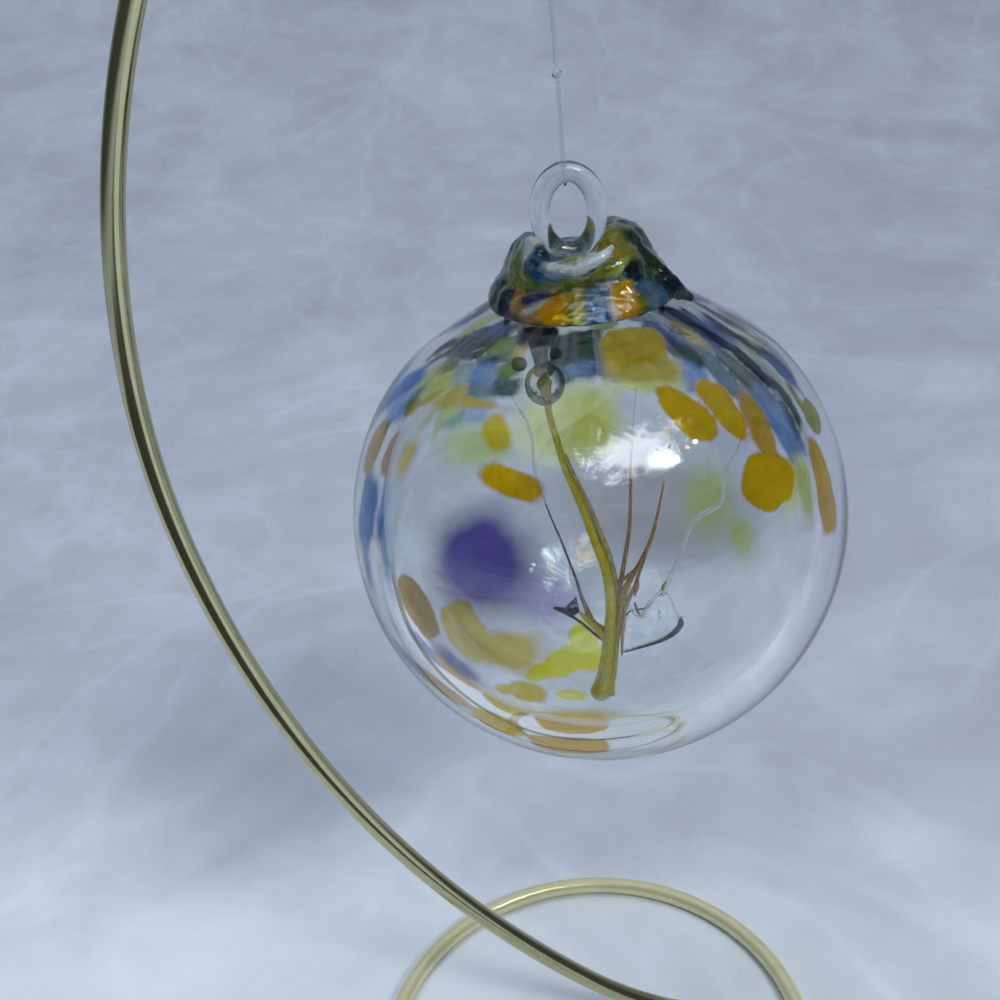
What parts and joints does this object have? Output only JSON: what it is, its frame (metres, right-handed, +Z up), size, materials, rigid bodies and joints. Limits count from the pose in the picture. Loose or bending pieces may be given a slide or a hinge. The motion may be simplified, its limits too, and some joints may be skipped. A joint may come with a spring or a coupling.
{
  "type": "glass ornament on a wire stand",
  "caption": "Blown clear glass ball with coloured flecks and a glass tree inside, capped with a gather of coloured glass and hung by a thread from a bent-wire stand with a ring foot.",
  "frame": {"origin": "on the surface that the stand rests on, below the middle of the stand's and the globe's bounding box", "axes": "+Z up, +X from the stand's bowed arm towards the globe, +Y towards the back, where the arm and hook lie in one plane square to Y"},
  "size_m": [0.1398, 0.1128, 0.3065],
  "materials": {
    "globe_glass": "clear blown glass with coloured flecks in the wall, gloss",
    "cap_glass": "blue, green and amber glass folded together, gloss",
    "loop_glass": "clear glass rod, gloss",
    "thread_nylon": "clear monofilament nylon",
    "stand_wire": "pale gold plate on steel wire, gloss"
  },
  "bodies": {
    "root": {"globe": "globe_glass", "cap": "cap_glass", "hanging_loop": "loop_glass", "thread": "thread_nylon", "thread_knot": "thread_nylon", "wire_stand": "stand_wire"}
  },
  "joints": []
}
